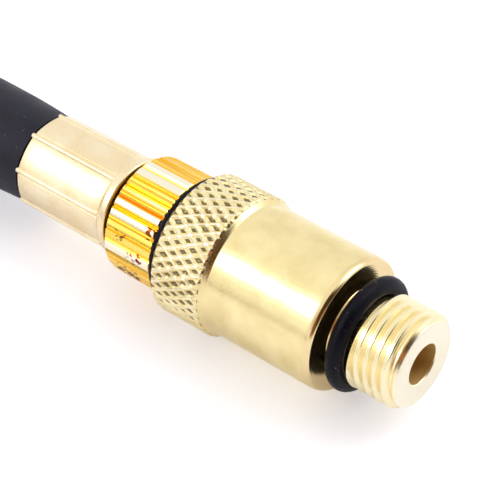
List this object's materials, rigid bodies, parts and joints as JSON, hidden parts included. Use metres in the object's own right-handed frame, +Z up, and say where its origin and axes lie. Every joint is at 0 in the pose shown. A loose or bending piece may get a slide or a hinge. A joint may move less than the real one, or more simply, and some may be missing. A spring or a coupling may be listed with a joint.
{
  "type": "compression tester hose",
  "caption": "Black rubber pressure hose with crimped brass ferrules, a ribbed end fitting with a check valve, a screw-on knurled thread adapter and a quick-connect nipple.",
  "frame": {"origin": "on the axis of the fittings, at the last crest of the tip thread next to the shoulder", "axes": "+X along the axis of the fittings, pointing out of the tip thread; +Z up from the surface that the part lies on"},
  "size_m": [0.1884, 0.1656, 0.0182],
  "materials": {
    "adapter_brass": "satin turned brass, diamond-knurled grip",
    "gold_brass": "bright gold, straight ribs",
    "ferrule_brass": "pale champagne plated brass, pressed",
    "core_brass": "plain turned brass",
    "tail_brass": "satin turned brass",
    "plug_steel": "nickel-plated steel, satin",
    "spring_steel": "drawn wire",
    "black_rubber": "semi-matt black",
    "seal_rubber": "dark red, matt",
    "washer_rubber": "matt black",
    "hose_rubber": "matt black with a dusty surface",
    "braid_fabric": "braided textile yarn",
    "liner_rubber": "smooth black"
  },
  "bodies": {
    "hose_end": {"hose_end_fitting": "gold_brass", "fitting_o_ring": "black_rubber", "front_ferrule": "ferrule_brass", "valve_core_plug": "core_brass", "valve_core_barrel": "core_brass", "valve_core_gasket": "seal_rubber", "valve_core_spring": "spring_steel", "hose_cover": "hose_rubber", "hose_braid": "braid_fabric", "hose_liner": "liner_rubber", "rear_ferrule": "ferrule_brass", "rear_hose_tail": "tail_brass", "plug_washer": "washer_rubber", "quick_plug": "plug_steel"},
    "tip_seal": {"tip_o_ring": "black_rubber"},
    "adapter": {"thread_adapter": "adapter_brass"},
    "valve_pin": {"valve_core_pin": "core_brass", "valve_core_cup": "core_brass", "valve_core_cup_gasket": "seal_rubber"}
  },
  "joints": [
    {"name": "adapter_advance", "type": "slide", "parent": "hose_end", "child": "tip_seal", "axis": [1, 0, 0], "range_m": [0, 0.00875]},
    {"name": "adapter_turn", "type": "hinge", "parent": "tip_seal", "child": "adapter", "pos_m": [0, 0, 0], "axis": [1, 0, 0], "range_deg": [0, 2520]},
    {"name": "valve_pin_press", "type": "slide", "parent": "hose_end", "child": "valve_pin", "axis": [-1, 0, 0], "range_m": [0, 0.001], "stiffness_N_per_m": 600, "springref_m": -0.003, "deforming": ["valve_core_spring"]}
  ],
  "couplings": [
    {"joint": "adapter_turn", "follows": "adapter_advance", "rad_per_m": 5026.5}
  ]
}
